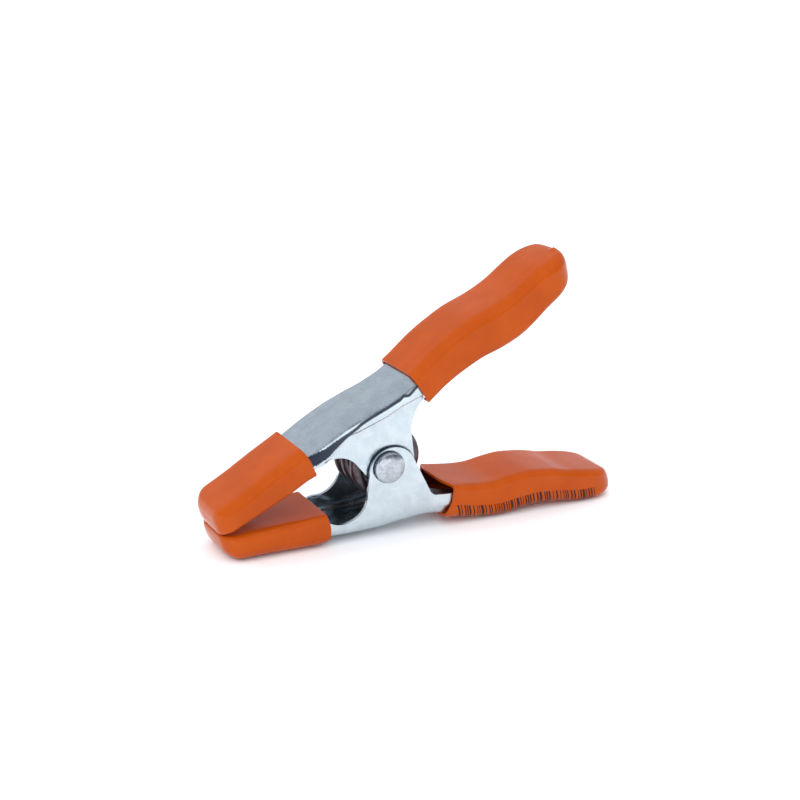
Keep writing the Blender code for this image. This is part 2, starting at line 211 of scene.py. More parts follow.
def spline(points):
    """Return a smooth function through the points, a cubic Hermite curve on an uneven grid."""
    def value(a):
        last = len(points) - 2
        i = min(max(sum(1 for p in points[1:] if a >= p[0]), 0), last)
        (a0, b0), (a1, b1) = points[i], points[i + 1]
        before = points[i - 1] if i > 0 else (2 * a0 - a1, 2 * b0 - b1)
        after = points[i + 2] if i < last else (2 * a1 - a0, 2 * b1 - b0)
        step = a1 - a0
        rise0 = step * (b1 - before[1]) / (a1 - before[0])
        rise1 = step * (after[1] - b0) / (after[0] - a0)
        t = (a - a0) / step
        return ((2 * t ** 3 - 3 * t ** 2 + 1) * b0 + (t ** 3 - 2 * t ** 2 + t) * rise0
                + (3 * t ** 2 - 2 * t ** 3) * b1 + (t ** 3 - t ** 2) * rise1)
    return value


spine_height = {1: spline(UPPER_SPINE), -1: spline(LOWER_SPINE)}
joggle_line = spline(JOGGLE_ARCH)


def pad_height(a):
    slope = (PAD_REAR[1] - PAD_FRONT[1]) / (PAD_REAR[0] - PAD_FRONT[0])
    return PAD_FRONT[1] + slope * (a - PAD_FRONT[0])


def below_spine(depths, side):
    depth = spline(depths)
    return lambda a: spine_height[side](a) - depth(a)


def smooth(t):
    t = min(max(t, 0.0), 1.0)
    return t * t * (3.0 - 2.0 * t)


def corner_inset(distance, radius):
    d = min(max(distance, 0.0), radius)
    return radius - math.sqrt(radius ** 2 - (radius - d) ** 2)


def spread(start, stop, count):
    return [start + (stop - start) * i / count for i in range(count + 1)]


def arc(outline, count):
    a, b, radius, start, stop = outline
    angles = [math.radians(t) for t in spread(start, stop, count)]
    return [(a + radius * math.cos(t), b + radius * math.sin(t)) for t in angles]


def resample(points, count):
    """Points along an outline, evenly spread by its run and, with less weight, its climb."""
    marks = [0.0]
    for p, q in zip(points, points[1:]):
        marks.append(marks[-1] + abs(q[0] - p[0]) + CLIMB_WEIGHT * abs(q[1] - p[1]))
    result = []
    i = 0
    for s in spread(0.0, marks[-1], count):
        while i < len(marks) - 2 and marks[i + 1] < s:
            i += 1
        t = (s - marks[i]) / (marks[i + 1] - marks[i])
        result.append(tuple(p + (q - p) * t for p, q in zip(points[i], points[i + 1])))
    return result


def arc_lengths(points):
    """Distance along a row of points, zero in its middle."""
    total = [0.0]
    for p, q in zip(points, points[1:]):
        total.append(total[-1] + math.dist(p, q))
    return [s - total[-1] / 2 for s in total]


# ---------------------------------------------------------------- mesh helpers

def loft(name, rings, closed, dome=0.0):
    """Object lofted through rings of clamp-frame points, with a map of its surface in mm.

    U is the position along A and V the distance round the section from the spine's middle.
    The rings are open rows, or closed loops that start at the middle of their inner face, of
    which the last is closed by smaller rings that rise to a low dome.
    """
    count = len(rings[0])
    rings = [list(ring) for ring in rings]
    if closed:
        last = [Vector(p) for p in rings[-1]]
        centre = sum(last, Vector()) / count
        outward = 1.0 if rings[-1][0][0] > rings[0][0][0] else -1.0
        for scale in CAP_SCALES:
            rise = Vector((outward * dome * (1.0 - scale ** 2), 0.0, 0.0))
            rings.append([tuple(centre + (p - centre) * scale + rise) for p in last])
    points = [p for ring in rings for p in ring]
    faces = []
    uvs = []
    for i in range(len(rings) - 1):
        for j in range(count if closed else count - 1):
            k = (j + 1) % count
            corners = ((i, j, j), (i, k, j + 1), (i + 1, k, j + 1), (i + 1, j, j))
            faces.append([row * count + column for row, column, _ in corners])
            uvs.append([(row, step) for row, _, step in corners])
    if closed:
        points.append(tuple(centre + Vector((outward * dome, 0.0, 0.0))))
        row = len(rings) - 1
        for j in range(count):
            faces.append([row * count + j, row * count + (j + 1) % count, len(points) - 1])
            uvs.append([(row, j), (row, j + 1), (row, j)])
    mesh = bpy.data.meshes.new(name)
    mesh.from_pydata([Vector(p) for p in points], [], faces)
    lengths = [arc_lengths(ring + [ring[0]] if closed else ring) for ring in rings]
    layer = mesh.uv_layers.new(name="surface_mm")
    loop = 0
    for corners in uvs:
        for row, step in corners:
            layer.data[loop].uv = (rings[row][step % count][0], lengths[row][step])
            loop += 1
    return mesh


def face_outwards(mesh, side):
    """Turn the faces so that the spine's outer face looks away from the clamp's middle."""
    face = max(mesh.polygons, key=lambda polygon: side * polygon.center.z)
    if face.normal.z * side < 0:
        mesh.flip_normals()


def ripple(mesh, height, size, seed):
    """Move the surface in and out along its normals by smooth noise."""
    offset = Vector([seed * step for step in SEED_STEP])
    for vertex, normal in zip(mesh.vertices, [n.vector.copy() for n in mesh.vertex_normals]):
        here = vertex.co / size + offset
        wave = noise.noise(here) + FINE_SHARE * noise.noise(here * FINE_SCALE)
        vertex.co += normal * (wave * height)


def bump_out(mesh, place, radius, height):
    """Raise a soft round bump around a point of the surface."""
    centre = Vector(place)
    normals = [n.vector.copy() for n in mesh.vertex_normals]
    for vertex, normal in zip(mesh.vertices, normals):
        share = (vertex.co - centre).length / radius
        if share < BUMP_REACH:
            vertex.co += normal * (height * math.exp(-BUMP_FALL * share ** 2))


def finished(name, mesh, material, body, nodes):
    """Link a clamp-frame mesh in millimetres as a piece on a CAD body."""
    mesh.transform(CLAMP @ Matrix.Scale(MM, 4))
    mesh.shade_smooth()
    obj = bpy.data.objects.new(name, mesh)
    bpy.context.scene.collection.objects.link(obj)
    mesh.materials.append(material)
    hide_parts(*nodes)
    if body:
        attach(obj, body)
    return obj


def add_solidify(obj, thickness):
    solid = obj.modifiers.new("Sheet", "SOLIDIFY")
    solid.thickness = thickness * MM
    solid.offset = -1.0


def apply_modifiers(obj):
    """Keep the evaluated shape as the piece's own mesh."""
    bpy.context.view_layer.update()
    graph = bpy.context.evaluated_depsgraph_get()
    mesh = bpy.data.meshes.new_from_object(obj.evaluated_get(graph), depsgraph=graph)
    obj.modifiers.clear()
    obj.data = mesh


def round_edges(obj, width, segments, low, high):
    """Round the sharp edges of a sheet between these positions along A."""
    to_clamp = CLAMP.inverted()
    bm = bmesh.new()
    bm.from_mesh(obj.data)
    sharp = []
    for edge in bm.edges:
        positions = [(to_clamp @ vertex.co).x / MM for vertex in edge.verts]
        if min(positions) > low and max(positions) < high and len(edge.link_faces) == 2:
            if edge.calc_face_angle(0.0) > SHARP:
                sharp.append(edge)
    bmesh.ops.bevel(bm, geom=sharp, offset=width * MM, offset_type="OFFSET", segments=segments,
                    profile=0.5, affect="EDGES", clamp_overlap=True)
    bm.to_mesh(obj.data)
    bm.free()
    obj.data.shade_smooth()
    obj.data.set_sharp_from_angle(angle=SHARP)


# ---------------------------------------------------------------- shader helpers

class Nodes:
    """Small builder for a node tree."""

    def __init__(self, tree):
        self.tree = tree

    def node(self, kind, inputs=None, **settings):
        node = self.tree.nodes.new(kind)
        for key, value in settings.items():
            setattr(node, key, value)
        for key, value in (inputs or {}).items():
            self.link(value, node.inputs[key])
        return node

    def link(self, value, socket):
        if isinstance(value, bpy.types.NodeSocket):
            self.tree.links.new(value, socket)
        else:
            socket.default_value = value

    def math(self, operation, a, b=0.0, c=0.0):
        node = self.node("ShaderNodeMath", operation=operation)
        for socket, value in zip(node.inputs, (a, b, c)):
            self.link(value, socket)
        return node.outputs[0]

    def step(self, value, low, high):
        """Smooth step from 0 at low to 1 at high."""
        node = self.node("ShaderNodeMapRange", {"Value": value, "From Min": low,
                                                "From Max": high}, interpolation_type="SMOOTHSTEP")
        return node.outputs["Result"]

    def separate(self, vector):
        return self.node("ShaderNodeSeparateXYZ", {"Vector": vector}).outputs


class Shader(Nodes):
    """Builder for a material's node tree."""

    def __init__(self, name):
        self.material = bpy.data.materials.new(name)
        self.material.use_nodes = True
        super().__init__(self.material.node_tree)
        self.surface = self.tree.nodes["Principled BSDF"]
        self.places = self.node("ShaderNodeTexCoord").outputs["Object"]
        self.map = self.node("ShaderNodeUVMap", uv_map="surface_mm").outputs["UV"]

    def scaled(self, vector, scale):
        """A vector stretched differently along each axis."""
        return self.node("ShaderNodeMapping", {"Vector": vector, "Scale": scale}).outputs[0]

    def noise(self, vector, scale, detail=3.0, rough=0.55, distortion=0.0):
        node = self.node("ShaderNodeTexNoise", {"Vector": vector, "Scale": scale,
                                                "Detail": detail, "Roughness": rough,
                                                "Distortion": distortion})
        return node.outputs["Fac"]

    def blend(self, factor, first, second):
        node = self.node("ShaderNodeMix", data_type="RGBA")
        self.link(factor, node.inputs[0])
        for socket, value in ((node.inputs[6], first), (node.inputs[7], second)):
            self.link(value, socket)
        return node.outputs[2]

    def bump(self, height, distance, strength=1.0, normal=None):
        inputs = {"Height": height, "Distance": distance * MM, "Strength": strength}
        if normal is not None:
            inputs["Normal"] = normal
        return self.node("ShaderNodeBump", inputs).outputs["Normal"]

    def finish(self, **inputs):
        names = {"color": "Base Color", "roughness": "Roughness", "metallic": "Metallic",
                 "normal": "Normal", "specular": "Specular IOR Level",
                 "glow": "Emission Color", "glow_strength": "Emission Strength"}
        for key, value in inputs.items():
            self.link(value, self.surface.inputs[names[key]])
        return self.material


def rgb(r, g, b):
    return (r, g, b, 1.0)


PER_MM = 1.0 / MM                   # object coordinates are in metres


def vinyl_material(name, bars=False):
    """Dip-moulded orange vinyl: soft gloss, orange peel, faint scuffs and specks."""
    sh = Shader(name)
    cloud = sh.noise(sh.places, PER_MM / 16.0, 3.0)
    grain = sh.noise(sh.places, PER_MM / 0.9, 2.0)
    scuffs = sh.noise(sh.scaled(sh.places, (PER_MM / 9.0, PER_MM / 1.1, PER_MM / 3.0)), 1.0,
                      5.0, 0.7)
    scuff = sh.step(scuffs, 0.66, 0.78)
    specks = sh.noise(sh.places, PER_MM / 0.55, 1.0)
    speck = sh.step(specks, 0.80, 0.84)
    color = sh.blend(sh.step(cloud, 0.35, 0.68), rgb(0.345, 0.053, 0.001), rgb(0.385, 0.063, 0.002))
    color = sh.blend(sh.math("MULTIPLY", scuff, 0.18), color, rgb(0.62, 0.15, 0.04))
    color = sh.blend(sh.math("MULTIPLY", speck, 0.35), color, rgb(0.26, 0.03, 0.003))
    roughness = sh.math("MULTIPLY_ADD", cloud, 0.14, 0.11)
    roughness = sh.math("MULTIPLY_ADD", scuff, 0.14, roughness)
    if bars:
        ink = printed_bars(sh)
        color = sh.blend(ink, color, rgb(0.012, 0.007, 0.007))
        roughness = sh.math("MULTIPLY_ADD", ink, 0.12, roughness)
    peel = sh.noise(sh.places, PER_MM / 2.6, 2.0)
    normal = sh.bump(peel, 0.14, 0.35)
    normal = sh.bump(grain, 0.05, 0.35, normal)
    # painted light: a faint dark-red glow stands in for light scattered through the thin vinyl
    return sh.finish(color=color, roughness=roughness, normal=normal, specular=0.16,
                     glow=rgb(0.045, 0.004, 0.001), glow_strength=1.0)


BAR_FROM, BAR_TO = 22.0, 80.0       # stretch of the bars along the grip
BAR_LOW, BAR_HIGH = 9.6, 18.0       # and across it, from the spine's middle


def printed_bars(sh):
    """Mask of plain seeded bars printed along the grip's spine-side corner."""
    draw = random.Random(5)
    u, v, _ = sh.separate(sh.map)
    bars = None
    position = BAR_FROM
    while position < BAR_TO:
        width = draw.choice((0.35, 0.5, 0.7, 1.1))
        bar = sh.math("COMPARE", u, position + width / 2, width / 2)
        bars = bar if bars is None else sh.math("MAXIMUM", bars, bar)
        position += width + draw.choice((0.35, 0.45, 0.6, 1.0))
    across = sh.math("COMPARE", v, -(BAR_LOW + BAR_HIGH) / 2, (BAR_HIGH - BAR_LOW) / 2)
    wear = sh.step(sh.noise(sh.places, PER_MM / 1.4, 4.0, 0.7), 0.22, 0.36)
    return sh.math("MULTIPLY", sh.math("MULTIPLY", bars, across), wear)


def zinc_material(name, side, painted_fold=False):
    """Bright zinc plate on rolled sheet: spangle, rolling streaks and fine scratches."""
    sh = Shader(name)
    cells = sh.node("ShaderNodeTexVoronoi", {"Vector": sh.places, "Scale": PER_MM / 4.2,
                                             "Randomness": 1.0}, feature="F1")
    spangle = sh.node("ShaderNodeSeparateColor", {"Color": cells.outputs["Color"]}).outputs[0]
    mottle = sh.noise(sh.places, PER_MM / 5.0, 5.0, 0.65, 0.4)
    streaks = sh.noise(sh.scaled(sh.map, (0.035, 1.6, 1.0)), 1.0, 5.0, 0.65)
    scratch_field = sh.noise(sh.scaled(sh.map, (0.12, 7.0, 1.0)), 1.0, 3.0, 0.5)
    scratch = sh.step(scratch_field, 0.70, 0.76)
    tone = sh.math("MULTIPLY_ADD", mottle, 0.75, sh.math("MULTIPLY", streaks, 0.25))
    color = sh.blend(sh.step(tone, 0.34, 0.64), rgb(0.49, 0.56, 0.60), rgb(0.60, 0.67, 0.71))
    color = sh.blend(sh.math("MULTIPLY", spangle, 0.16), color, rgb(0.50, 0.60, 0.68))
    color = sh.blend(sh.math("MULTIPLY", scratch, 0.30), color, rgb(0.42, 0.44, 0.46))
    roughness = sh.math("MULTIPLY_ADD", mottle, 0.14, 0.15)
    roughness = sh.math("MULTIPLY_ADD", spangle, 0.05, roughness)
    # painted shadow round the rivet's head and where the other lever's ear lies on this one
    ring = sh.math("MAXIMUM", painted_rivet_shadow(sh), painted_ear_shadow(sh, side))
    color = sh.blend(ring, color, rgb(0.045, 0.06, 0.09))
    if painted_fold:
        # painted reflection: the fold is darkened where its bend would mirror the dark room in
        # front
        mask = painted_fold_reflection(sh)
        color = sh.blend(mask, color, rgb(0.012, 0.016, 0.035))
        roughness = sh.math("MULTIPLY_ADD", mask, 0.15, roughness)
    normal = sh.bump(mottle, 0.06, 0.25)
    normal = sh.bump(streaks, 0.02, 0.30, normal)
    normal = sh.bump(scratch, 0.02, 0.30, normal)
    return sh.finish(color=color, roughness=roughness, metallic=1.0, normal=normal)


def axis_distance(sh, centre=PIVOT):
    """Distance from a line through the centre along the pivot's axis, in millimetres."""
    x, _, z = sh.separate(sh.places)
    x = sh.math("SUBTRACT", x, centre.x)
    z = sh.math("SUBTRACT", z, centre.z)
    square = sh.math("MULTIPLY_ADD", x, x, sh.math("MULTIPLY", z, z))
    return sh.math("MULTIPLY", sh.math("SQRT", square), PER_MM)


RING_EDGE = (6.05, 5.75)            # radii where the painted shadow round the rivet's head ends, is full
EAR_BAND_OUTER = (9.5, 8.9)         # the same for the band where the other ear lies,
EAR_BAND_INNER = (6.8, 7.4)
EAR_FLANGE = (8.0, 10.0)            # which is only this far out from the middle
FOLD_DARK_RUN = (-9.0, -27.0)          # the painted dark reflection along the fold broadens between these positions, its middle's distance from the spine's and what that gains, and its half width and what that gains
FOLD_DARK_MIDDLE = (12.9, 2.0)         # its middle's distance from the spine's and what that gains,
FOLD_DARK_HALF = (0.35, 1.6)           # and its half width and what that gains
FOLD_DARK_FADE = 0.55


def painted_rivet_shadow(sh):
    """Thin line of painted shadow around the rivet's head."""
    uneven = sh.math("MULTIPLY", sh.noise(sh.places, PER_MM / 2.0, 3.0), 0.6)
    distance = sh.math("SUBTRACT", axis_distance(sh), uneven)
    return sh.math("MULTIPLY", sh.step(distance, *RING_EDGE), 0.6)


def painted_ear_shadow(sh, side):
    """Painted shadow where the other lever's outer ear lies on this one."""
    ear = CLAMP @ Vector((PLAIN_EAR[0] * MM, 0.0, -side * PLAIN_EAR[1] * MM))
    uneven = sh.math("MULTIPLY", sh.noise(sh.places, PER_MM / 3.0, 3.0), 1.4)
    distance = sh.math("SUBTRACT", axis_distance(sh, ear), uneven)
    _, y, _ = sh.separate(sh.places)
    covered = sh.step(sh.math("MULTIPLY", y, -side * PER_MM), *EAR_FLANGE)
    band = sh.math("MULTIPLY", sh.step(distance, *EAR_BAND_OUTER),
                   sh.step(distance, *EAR_BAND_INNER))
    return sh.math("MULTIPLY", sh.math("MULTIPLY", band, covered), 0.9)


def painted_fold_reflection(sh):
    """Painted dark reflection along the fold: broad and dark beside the jaw cover, a thin line
    behind.
    """
    u, v, _ = sh.separate(sh.map)
    front = sh.step(u, *FOLD_DARK_RUN)
    middle = sh.math("MULTIPLY_ADD", front, FOLD_DARK_MIDDLE[1], FOLD_DARK_MIDDLE[0])
    half = sh.math("MULTIPLY_ADD", front, FOLD_DARK_HALF[1], FOLD_DARK_HALF[0])
    strokes = sh.noise(sh.scaled(sh.map, (1.3, 0.15, 1.0)), 1.0, 4.0, 0.6)
    half = sh.math("MULTIPLY", half, sh.math("MULTIPLY_ADD", strokes, 1.0, 0.5))
    distance = sh.math("ABSOLUTE", sh.math("ADD", v, middle))
    line = sh.step(sh.math("SUBTRACT", distance, half), FOLD_DARK_FADE, 0.0)
    return sh.math("MULTIPLY", line, sh.math("MULTIPLY_ADD", front, 0.06, 0.9))


def rivet_material(name):
    """Matt, mottled zinc on a cold-headed rivet."""
    sh = Shader(name)
    mottle = sh.noise(sh.places, PER_MM / 1.5, 5.0, 0.7)
    patches = sh.noise(sh.places, PER_MM / 4.0, 2.0)
    color = sh.blend(sh.step(mottle, 0.35, 0.68), rgb(0.36, 0.40, 0.44), rgb(0.54, 0.58, 0.61))
    color = sh.blend(sh.step(patches, 0.55, 0.75), color, rgb(0.46, 0.49, 0.53))
    # painted shade: the rim wall of the head is darkened
    painted_rim_shade = sh.step(axis_distance(sh), RIVET_HEAD / 2 - 0.30, RIVET_HEAD / 2 - 0.05)
    color = sh.blend(sh.math("MULTIPLY", painted_rim_shade, 0.9), color, rgb(0.14, 0.17, 0.22))
    roughness = sh.math("MULTIPLY_ADD", mottle, 0.16, 0.14)
    normal = sh.bump(mottle, 0.06, 0.35)
    return sh.finish(color=color, roughness=roughness, metallic=1.0, normal=normal)


def spring_material(name):
    """Oil-tempered spring wire: brown-black scale with fine drawing lines."""
    sh = Shader(name)
    scale = sh.noise(sh.places, PER_MM / 3.0, 4.0, 0.6)
    lines = sh.noise(sh.scaled(sh.map, (0.05, 3.5, 1.0)), 1.0, 3.0, 0.6)
    color = sh.blend(sh.step(scale, 0.38, 0.66), rgb(0.055, 0.043, 0.050), rgb(0.12, 0.10, 0.115))
    color = sh.blend(sh.math("MULTIPLY", sh.step(lines, 0.5, 0.7), 0.4), color,
                     rgb(0.20, 0.18, 0.19))
    roughness = sh.math("MULTIPLY_ADD", scale, 0.2, 0.22)
    normal = sh.bump(lines, 0.04, 0.4)
    normal = sh.bump(scale, 0.06, 0.3, normal)
    return sh.finish(color=color, roughness=roughness, metallic=0.85, normal=normal)


# ---------------------------------------------------------------- levers
# Both levers are the same stamping, turned over: one plain ear, and one that steps inwards.

def tip_edge(a):
    return pad_height(a) + VINYL + EDGE_ROOM


def plain_outline(side):
    """Flange edge with the deep notch and the outer ear."""
    edge = [(OUTLINE_START, tip_edge(OUTLINE_START))]
    edge += arc(PLAIN_NOTCH_FRONT, 16) + arc(PLAIN_NOTCH_REAR, 18) + arc(PLAIN_EAR, 50)
    edge += arc(PLAIN_REAR, 10)
    edge.append((OUTLINE_END, below_spine(PLAIN_FLANGE, side)(OUTLINE_END)))
    return edge


def joggled_outline(side):
    """Flange edge with the shoulder, the shallow notch and the inner ear."""
    foot = tip_edge(SHOULDER_FOOT)
    (rise_a, rise_b), (crest_a, crest_b) = SHOULDER
    edge = [(OUTLINE_START, tip_edge(OUTLINE_START))]
    edge += [(SHOULDER_FOOT + (rise_a - SHOULDER_FOOT) * t, foot + (rise_b - foot) * smooth(t))
             for t in spread(0.0, 1.0, 8)]
    edge.append((crest_a, crest_b))
    edge += arc(JOGGLED_NOTCH, 24) + arc(JOGGLED_EAR, 50) + arc(JOGGLED_REAR, 20)
    edge.append((OUTLINE_END, below_spine(JOGGLED_FLANGE, side)(OUTLINE_END)))
    return edge


def half_width(a):
    inset = corner_inset(a - TIP_END, TIP_CORNER) + corner_inset(HANDLE_END - a, HANDLE_CORNER)
    return STEEL_WIDTH / 2 - inset


def joggle_depth(a):
    inside = min(a - JOGGLE_ARCH[0][0], JOGGLE_ARCH[-1][0] - a)
    return JOGGLE * smooth(inside / JOGGLE_FADE)


def joggle_part(a, fold_b, low_a, low_b):
    """Where the row from the fold to the flange's edge crosses the arched line, from 0 to 1."""
    part = 0.5
    for _ in range(6):
        crossing = joggle_line(a + (low_a - a) * part)
        part = (fold_b - crossing) / (fold_b - low_b)
        part = min(max(part, JOGGLE_RANGE[0]), JOGGLE_RANGE[1])
    return part


def flange_row(a, half, fold_b, edge, joggled):
    """Points of one flange from the fold to its edge, stepped inwards below the arched line."""
    low_a, low_b = edge
    upper = joggle_part(a, fold_b, low_a, low_b) if joggled else PLAIN_PART
    lower = min(upper + JOGGLE_RUN / (fold_b - low_b), JOGGLE_LAST)
    parts = spread(0.0, upper, 3)[1:] + spread(upper, lower, 7)[1:] + spread(lower, 1.0, 9)[1:]
    row = []
    for t in parts:
        step = joggle_depth(a + (low_a - a) * t) * smooth((t - upper) / (lower - upper))
        row.append((a + (low_a - a) * t, half - (step if joggled else 0.0),
                    fold_b + (low_b - fold_b) * t))
    return row


def half_section(a, edge, side, joggled):
    """Row from the spine's middle over the bend to one flange's edge."""
    top = spine_height[side](a)
    half = half_width(a)
    across = min(BEND[0], half - 0.6)
    down = min((top - edge[1]) * 0.5, BEND[1])
    soft = smooth((a - SOFT_FROM) / SOFT_RUN) * smooth((SOFT_TO - a) / SOFT_RUN)
    across *= TIGHT_BEND[0] + (1.0 - TIGHT_BEND[0]) * soft
    down *= TIGHT_BEND[1] + (1.0 - TIGHT_BEND[1]) * soft
    shift = math.tan(DRAFT) * soft * (DRAFT_END - down) * 0.5
    row = [(a, y, top) for y in spread(0.0, half - across - shift, 6)]
    for t in spread(0.0, BEND_ANGLE, 12)[1:]:
        row.append((a, half - shift - across * (1 - math.sin(t)), top - down * (1 - math.cos(t))))
    return row + flange_row(a, half, row[-1][2], edge, joggled)


def lever_section(a, near_edge, far_edge, side):
    near = half_section(a, near_edge, side, side > 0)
    far = half_section(a, far_edge, side, side < 0)
    ring = [(p[0], -p[1], p[2]) for p in reversed(near[1:])] + far
    return [(p[0], p[1], side * p[2]) for p in ring]


def lever_sections(side):
    count = 170
    plain = resample(plain_outline(side), count)
    joggled = resample(joggled_outline(side), count)
    plain_line = below_spine(PLAIN_FLANGE, side)
    joggled_line = below_spine(JOGGLED_FLANGE, side)
    tip = [TIP_END + TIP_CORNER * (1 - math.cos(t)) for t in spread(0.0, math.pi / 2, 10)]
    tip += spread(tip[-1], OUTLINE_START - ROW, 40)[1:]
    stations = [(a, (a, tip_edge(a)), (a, tip_edge(a))) for a in tip]
    stations += [((p[0] + q[0]) / 2, p, q) for p, q in zip(plain, joggled)]
    corner = HANDLE_END - HANDLE_CORNER
    handle = spread(OUTLINE_END + ROW, corner, 76)[:-1]
    handle += [corner + HANDLE_CORNER * math.sin(t) for t in spread(0.0, math.pi / 2, 16)]
    stations += [(a, (a, plain_line(a)), (a, joggled_line(a))) for a in handle]
    if side > 0:
        stations = [(a, far, near) for a, near, far in stations]
    return [lever_section(a, near, far, side) for a, near, far in stations]


def make_lever(name, node, side, body, material):
    """One pressed lever: a channel whose flanges grow into the two pivot ears."""
    mesh = loft(name, lever_sections(side), closed=False)
    face_outwards(mesh, side)
    ripple(mesh, SHEET_WAVE, SHEET_WAVE_SIZE, side + 3)
    obj = finished(name, mesh, material, body, [node])
    add_solidify(obj, SHEET)
    cut_pivot_hole(obj)
    round_edges(obj, SHEET_EDGE, 3, JAW_MOUTH - 3.0, GRIP_MOUTH + 4.0)


def cut_pivot_hole(obj):
    """Drill both ears for the rivet, and keep the result as the piece's mesh."""
    drill = turned_mesh("drill", [(PIVOT_HOLE / 2, STEEL_WIDTH), (PIVOT_HOLE / 2, -STEEL_WIDTH)],
                        48, capped=True)
    drill.transform(CLAMP @ Matrix.Scale(MM, 4))
    cutter = bpy.data.objects.new("drill", drill)
    bpy.context.scene.collection.objects.link(cutter)
    hole = obj.modifiers.new("Pivot hole", "BOOLEAN")
    hole.object = cutter
    hole.solver = "EXACT"
    apply_modifiers(obj)
    bpy.data.objects.remove(cutter)


# ---------------------------------------------------------------- vinyl covers

def cover_section(height, half, openness, crown):
    """Points (y, depth below the top) from the spine's middle to the inner face's middle."""
    limit = min(height / 2 - 0.05, half - 0.1)
    upper = min(COVER_CORNER, limit)
    lower = min(EDGE_CORNER + (MOUTH_CORNER - EDGE_CORNER) * openness, limit)
    quarter = spread(0.0, math.pi / 2, 10)
    points = [(y, 0.0) for y in spread(0.0, half - upper, 8)[:-1]]
    points += [(half - upper * (1 - math.sin(t)), upper * (1 - math.cos(t))) for t in quarter]
    points += [(half, depth) for depth in spread(upper, height - lower, 5)[1:-1]]
    points += [(half - lower * (1 - math.cos(t)), height - lower * (1 - math.sin(t)))
               for t in quarter]
    points += [(y, height) for y in spread(half - lower, 0.0, 8)[1:]]
    return [(y, depth - crown * (1 - (y / half) ** 2) * (1 - depth / height))
            for y, depth in points]


def cover_ring(a, top_line, bottom_line, half, shrinks, openness, side, lip):
    swell = SWELL * (1 - openness)
    height = top_line(a) + swell - bottom_line(a) - sum(shrinks)
    right = cover_section(height, half, openness, CROWN * (1 - openness))
    ring = []
    loop = [(-y, depth) for y, depth in reversed(right)] + right[1:-1]
    for y, depth in loop:
        part = min(max(depth / height, 0.0), 1.0)
        moved = a + MOUTH_SHEAR * openness * depth + openness ** 2 * lip(y / half, part)
        top, bottom = top_line(moved) + swell - shrinks[0], bottom_line(moved) + shrinks[1]
        b = top - (top - bottom) * depth / height
        ring.append((moved, y, side * b))
    return ring


def make_cover(name, node, side, mouth, end, lines, plan_corner, nose, lip, body, material,
               bumps=()):
    """Cap-shaped cover, open at its mouth and rounded at its closed end."""
    top_line, bottom_line = lines
    direction = 1 if end > mouth else -1
    full_half = COVER_WIDTH / 2
    body_end = end - direction * plan_corner
    stations = spread(mouth, body_end, round(abs(body_end - mouth) / COVER_ROW))
    stations += [end - direction * plan_corner * (1 - math.sin(t))
                 for t in spread(0.0, math.pi / 2, 16)[1:]]
    rings = []
    for a in stations:
        distance = abs(end - a)
        half = full_half - corner_inset(distance, plan_corner)
        shrinks = [corner_inset(distance, radius) for radius in nose]
        openness = max(1.0 - abs(a - mouth) / MOUTH_RUN, 0.0)
        rings.append(cover_ring(a, top_line, bottom_line, half, shrinks, openness, side, lip))
    mesh = loft(name, rings, closed=True, dome=CAP_DOME)
    face_outwards(mesh, side)
    ripple(mesh, DIMPLE, DIMPLE_SIZE, side + len(name))
    for place, radius, height in bumps:
        bump_out(mesh, place, radius, height)
    obj = finished(name, mesh, material, body, [node])
    add_solidify(obj, VINYL)
    apply_modifiers(obj)
    round_edges(obj, LIP, 3, mouth - MOUTH_ZONE, mouth + MOUTH_ZONE)


def cover_lines(side, inner_line):
    """The outside of a cover over the spine, and its inner face."""
    return (lambda a: spine_height[side](a) + GAP + VINYL), inner_line


def lifted_pad(a):
    """The upper jaw cover's inner face rises a little towards its mouth."""
    return pad_height(a) + PAD_LIFT * smooth((a - PAD_LIFT_FROM) / PAD_LIFT_RUN)


def straight_lip(y, part):
    return 0.0


def upper_jaw_lip(y, part):
    """The mouth is pulled back towards its lower corners."""
    return -1.0 * smooth((part - 0.3) / 0.7) * smooth(abs(y) * 1.2 - 0.2)


def lower_jaw_lip(y, part):
    """The mouth is pulled back at its lower edge and beside the spine."""
    return -1.5 * smooth((part - 0.5) / 0.5) - 1.2 * smooth((0.25 - part) / 0.25) * abs(y)


def lower_grip_lip(y, part):
    """The side of the mouth is hollow, and its spine side laps forward."""
    return 1.8 * smooth((part - 0.1) / 0.5) * smooth(abs(y) * 1.5 - 0.5)


# ---------------------------------------------------------------- rivet, spacer, spring

def turned_mesh(name, profile, steps, capped=False):
    """Solid of revolution about the pivot axis, from (radius, position along the axis)."""
    points = []
    faces = []
    count = len(profile)
    for step in range(steps):
        turn = 2 * math.pi * step / steps
        points += [(r * math.cos(turn), y, r * math.sin(turn)) for r, y in profile]
        following = (step + 1) % steps
        for j in range(count - 1):
            faces.append((step * count + j, following * count + j,
                          following * count + j + 1, step * count + j + 1))
        if not capped:
            faces.append((step * count + count - 1, following * count + count - 1,
                          following * count, step * count))
    if capped:
        for j in (0, count - 1):
            ring = [step * count + j for step in range(steps)]
            faces.append(ring if j else ring[::-1])
    mesh = bpy.data.meshes.new(name)
    mesh.from_pydata(points, [], faces)
    mesh.update()
    layer = mesh.uv_layers.new(name="surface_mm")
    for polygon in mesh.polygons:
        for loop in polygon.loop_indices:
            p = mesh.vertices[mesh.loops[loop].vertex_index].co
            layer.data[loop].uv = (p.y, math.hypot(p.x, p.z))
    return mesh


